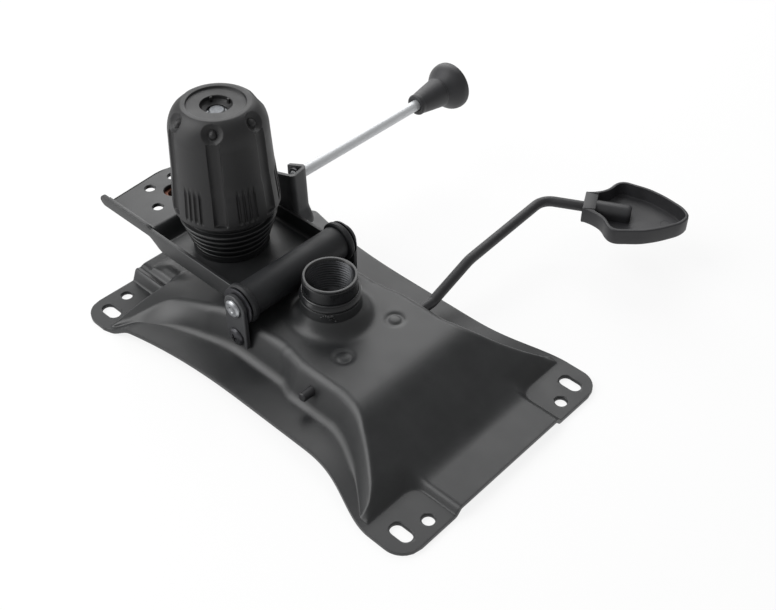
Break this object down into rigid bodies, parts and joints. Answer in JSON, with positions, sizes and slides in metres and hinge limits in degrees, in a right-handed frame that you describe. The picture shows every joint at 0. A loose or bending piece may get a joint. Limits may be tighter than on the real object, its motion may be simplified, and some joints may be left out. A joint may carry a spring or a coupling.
{
  "type": "chair push back mechanism",
  "caption": "Black pressed-steel push back mechanism for an office chair, with tension knob, gas lever, lock rod and tilting backrest channel",
  "frame": {"origin": "centre of the four seat bolt slots, on the face that meets the seat; the gas column's axis passes through it", "axes": "+X to the front of the seat, +Y to the side of the two levers, +Z away from the seat, along the gas column and towards the floor in use"},
  "size_m": [0.318, 0.3096, 0.1399],
  "materials": {
    "black_coat": "semi-gloss",
    "rod_coat": "semi-gloss",
    "black_zinc": "satin",
    "zinc_plate": "satin",
    "zinc_rod": "satin",
    "bare_steel": "satin",
    "spring_steel": "satin",
    "copper_nut": "satin",
    "boot_rubber": "matte",
    "black_plastic": "matte"
  },
  "bodies": {
    "housing": {"seat_plate": "black_coat", "column_socket": "black_coat", "socket_collar": "black_coat", "link_near": "black_coat", "link_far": "black_coat", "link_screws": "black_zinc", "pivot_pin": "zinc_plate", "thrust_washers": "black_zinc", "stop_sleeve": "bare_steel", "tension_bolt": "zinc_plate", "compression_spring": "spring_steel", "dust_boot": "boot_rubber"},
    "tilt_frame": {"tilt_channel": "black_coat", "cross_tube": "black_coat", "bush_near": "black_plastic", "bush_far": "black_plastic", "lock_bracket": "black_coat", "backrest_nut": "copper_nut", "spring_seat": "bare_steel"},
    "spring_carrier": {"spring_cap": "bare_steel"},
    "knob": {"tension_knob": "black_plastic", "knob_nut": "zinc_plate"},
    "gas_lever": {"gas_lever_rod": "rod_coat", "release_finger": "bare_steel", "lever_rings": "bare_steel", "paddle": "black_plastic"},
    "lock_lever": {"lock_rod": "zinc_rod", "lock_collar": "black_plastic", "lock_knob": "black_plastic"}
  },
  "joints": [
    {"name": "tilt", "type": "hinge", "parent": "housing", "child": "tilt_frame", "pos_m": [-0.0334, 0, 0.0444], "axis": [0, 1, 0], "range_deg": [0, 12], "stiffness_Nm_per_rad": 20, "deforming": ["compression_spring", "dust_boot"]},
    {"name": "knob_travel", "type": "slide", "parent": "housing", "child": "spring_carrier", "axis": [0, 0, 1], "range_m": [-0.0015, 0.003]},
    {"name": "knob_turn", "type": "hinge", "parent": "spring_carrier", "child": "knob", "pos_m": [-0.0907, 0, 0.1], "axis": [0, 0, 1], "range_deg": [-360, 720]},
    {"name": "lever_turn", "type": "hinge", "parent": "housing", "child": "gas_lever", "pos_m": [0.0305, 0, 0.02], "axis": [0, 1, 0], "range_deg": [0, 10], "stiffness_Nm_per_rad": 0.8, "springref_deg": -34.38},
    {"name": "lock_slide", "type": "slide", "parent": "tilt_frame", "child": "lock_lever", "axis": [0, 1, 0], "range_m": [-0.006, 0]}
  ],
  "couplings": [
    {"joint": "knob_turn", "follows": "knob_travel", "rad_per_m": 4188.8}
  ]
}
